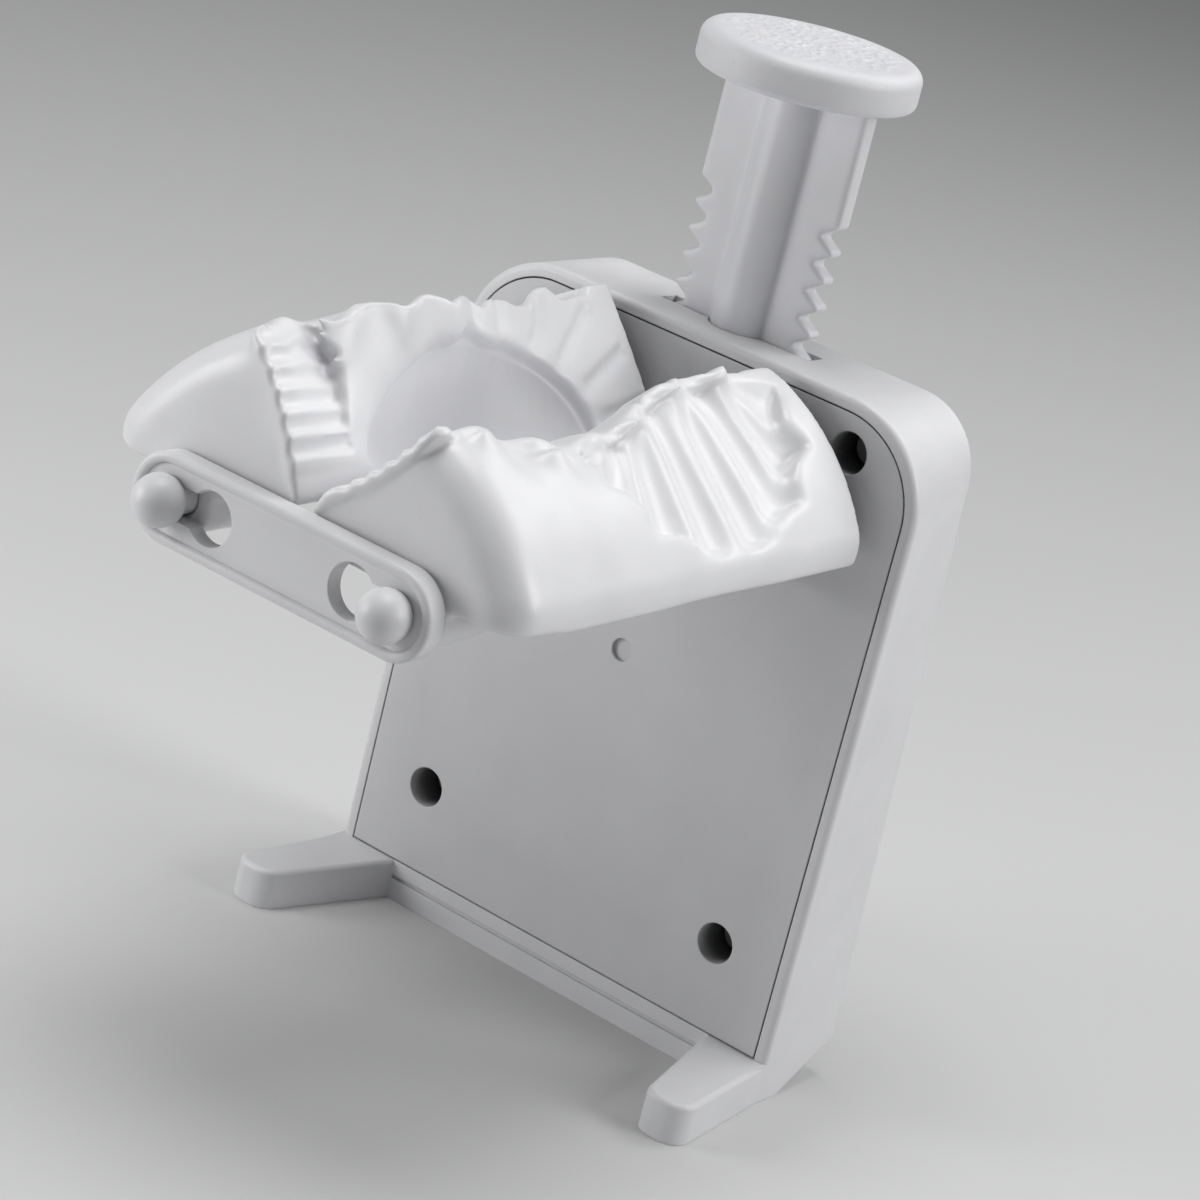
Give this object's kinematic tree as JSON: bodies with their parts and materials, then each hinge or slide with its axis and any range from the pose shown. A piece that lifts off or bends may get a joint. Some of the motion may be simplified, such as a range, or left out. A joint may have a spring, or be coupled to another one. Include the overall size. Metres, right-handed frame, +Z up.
{
  "type": "dumpling maker",
  "caption": "Upright dumpling press whose capped plunger drives racks and pinions that swing pleated half moulds together in front of a footed housing.",
  "frame": {"origin": "on the table plane, directly under the plunger's axis", "axes": "+X to the right seen from the front, +Y from the moulds to the back of the housing, +Z up along the plunger"},
  "size_m": [0.1104, 0.1462, 0.1863],
  "materials": {
    "housing_plastic": "satin moulded plastic, light grey-white",
    "cover_plastic": "satin moulded plastic, a little greyer than the housing",
    "plunger_plastic": "satin moulded plastic, light grey-white",
    "cap_plastic": "satin moulded plastic with a stippled top",
    "mould_plastic": "smooth satin moulded plastic, near white",
    "pin_plastic": "satin moulded plastic, light grey-white",
    "link_plastic": "satin moulded plastic, light grey-white",
    "gear_plastic": "natural acetal, off-white",
    "guide_plastic": "natural acetal, off-white",
    "screw_steel": "zinc-plated screw",
    "shaft_steel": "turned steel",
    "spring_steel": "drawn spring wire"
  },
  "bodies": {
    "stand": {"housing": "housing_plastic", "front_cover": "cover_plastic", "cover_screws": "screw_steel", "spring_guide": "guide_plastic", "return_spring": "spring_steel", "link_plate": "link_plastic"},
    "plunger": {"plunger_rod": "plunger_plastic", "press_cap": "cap_plastic"},
    "left_half": {"left_mould": "mould_plastic", "left_pinion": "gear_plastic", "left_drive_shaft": "shaft_steel", "left_pivot_pin": "pin_plastic"},
    "right_half": {"right_mould": "mould_plastic", "right_pinion": "gear_plastic", "right_drive_shaft": "shaft_steel", "right_pivot_pin": "pin_plastic"}
  },
  "joints": [
    {"name": "plunger_slide", "type": "slide", "parent": "stand", "child": "plunger", "axis": [0, 0, -1], "range_m": [0, 0.0075], "stiffness_N_per_m": 300, "springref_m": -0.02, "deforming": ["return_spring"]},
    {"name": "left_hinge", "type": "hinge", "parent": "stand", "child": "left_half", "pos_m": [-0.02486, 0, 0.1033], "axis": [0, 1, 0], "range_deg": [0, 40.2]},
    {"name": "right_hinge", "type": "hinge", "parent": "stand", "child": "right_half", "pos_m": [0.02486, 0, 0.1033], "axis": [0, -1, 0], "range_deg": [0, 40.2]}
  ],
  "couplings": [
    {"joint": "left_hinge", "follows": "plunger_slide", "rad_per_m": 93.24},
    {"joint": "right_hinge", "follows": "plunger_slide", "rad_per_m": 93.24}
  ]
}
